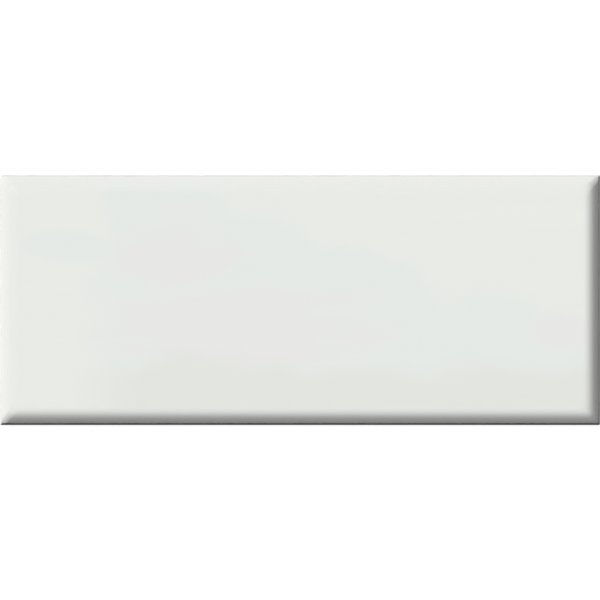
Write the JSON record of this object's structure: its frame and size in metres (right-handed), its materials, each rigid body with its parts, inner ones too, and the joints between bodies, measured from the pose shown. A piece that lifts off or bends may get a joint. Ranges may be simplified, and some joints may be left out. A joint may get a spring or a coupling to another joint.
{
  "type": "ceramic wall tile",
  "caption": "Rectangular glazed wall tile with a flat glossy off-white face, softly bevelled edges all round and a shallow ribbed back that keys into adhesive.",
  "frame": {"origin": "centre of the back, in the plane of its ribs", "axes": "+X along the long side, +Y along the short side, +Z out of the glazed face"},
  "size_m": [0.6, 0.25, 0.011],
  "materials": {
    "glazed_ceramic": "gloss"
  },
  "bodies": {
    "root": {"tile": "glazed_ceramic"}
  },
  "joints": []
}
